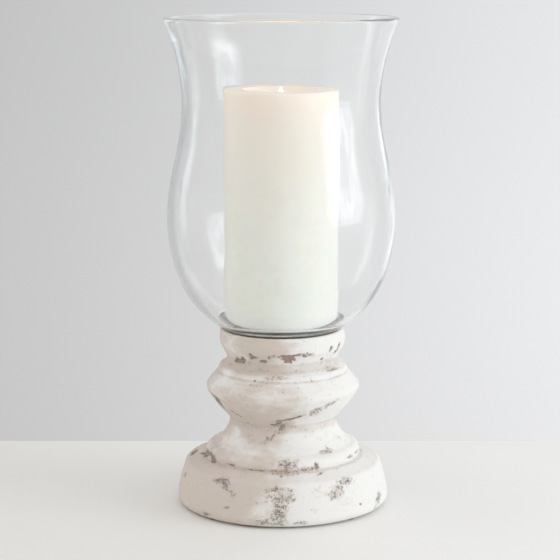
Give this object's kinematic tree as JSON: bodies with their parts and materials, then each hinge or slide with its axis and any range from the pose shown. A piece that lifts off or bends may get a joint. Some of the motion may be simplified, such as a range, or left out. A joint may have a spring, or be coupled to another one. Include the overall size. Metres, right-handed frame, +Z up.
{
  "type": "hurricane candle lantern",
  "caption": "Hurricane candle lantern: flared clear glass on a turned limewashed pedestal, with a battery pillar candle that lifts out of its mouth.",
  "frame": {"origin": "centre of the foot, on the table", "axes": "+Z up along the lantern's axis, -Y towards the front, +X to the right seen from the front"},
  "size_m": [0.1528, 0.1528, 0.3233],
  "materials": {
    "limewashed_terracotta": "hand-cast terracotta under a chalky off-white limewash, worn through to grey-brown at the edges",
    "brown_felt": "pressed wool felt",
    "clear_glass": "clear blown glass, fire-polished rim",
    "ivory_wax": "smooth ivory wax, softly translucent",
    "ivory_plastic": "fine-sparked moulded plastic",
    "grey_plastic": "moulded plastic",
    "black_plastic": "moulded plastic",
    "warm_lens": "frosted warm translucent plastic",
    "led_resin": "clear tinted epoxy",
    "cell_jacket": "printed metal jacket with no lettering",
    "contact_brass": "stamped sheet, bright",
    "spring_steel": "nickel-plated spring steel",
    "screw_steel": "zinc-plated",
    "tinned_wire": "tinned copper",
    "wire_insulation": "soft extruded insulation",
    "board_green": "solder mask",
    "capacitor_sleeve": "shrink sleeve"
  },
  "bodies": {
    "pedestal": {"pedestal_body": "limewashed_terracotta", "felt_feet": "brown_felt", "glass_seat_pad": "brown_felt"},
    "glass": {"glass_hurricane": "clear_glass"},
    "candle": {"candle_wax_shell": "ivory_wax", "bottom_plate": "ivory_plastic", "battery_tube": "grey_plastic", "tube_screws": "screw_steel", "battery_lower": "cell_jacket", "battery_upper": "cell_jacket", "positive_contact": "contact_brass", "conductor_strip": "contact_brass", "circuit_board": "board_green", "board_screws": "screw_steel", "timer_chip": "black_plastic", "board_capacitor": "capacitor_sleeve", "led_post": "ivory_plastic", "led_bulb": "led_resin", "led_leads": "tinned_wire", "flame_lens": "warm_lens", "switch_housing": "black_plastic", "switch_wires": "wire_insulation"},
    "battery_door": {"battery_door": "ivory_plastic", "door_leaf": "spring_steel"},
    "switch_slider": {"switch_slider": "black_plastic"}
  },
  "joints": [
    {"name": "glass_lift", "type": "slide", "parent": "pedestal", "child": "glass", "axis": [0, 0, 1], "range_m": [0, 0.04]},
    {"name": "candle_lift", "type": "slide", "parent": "glass", "child": "candle", "axis": [0, 0, 1], "range_m": [0, 0.205]},
    {"name": "door_turn", "type": "hinge", "parent": "candle", "child": "battery_door", "pos_m": [0, 0, 0.1265], "axis": [0, 0, 1], "range_deg": [0, 40]},
    {"name": "switch_slide", "type": "slide", "parent": "candle", "child": "switch_slider", "axis": [1, 0, 0], "range_m": [0, 0.004]}
  ]
}
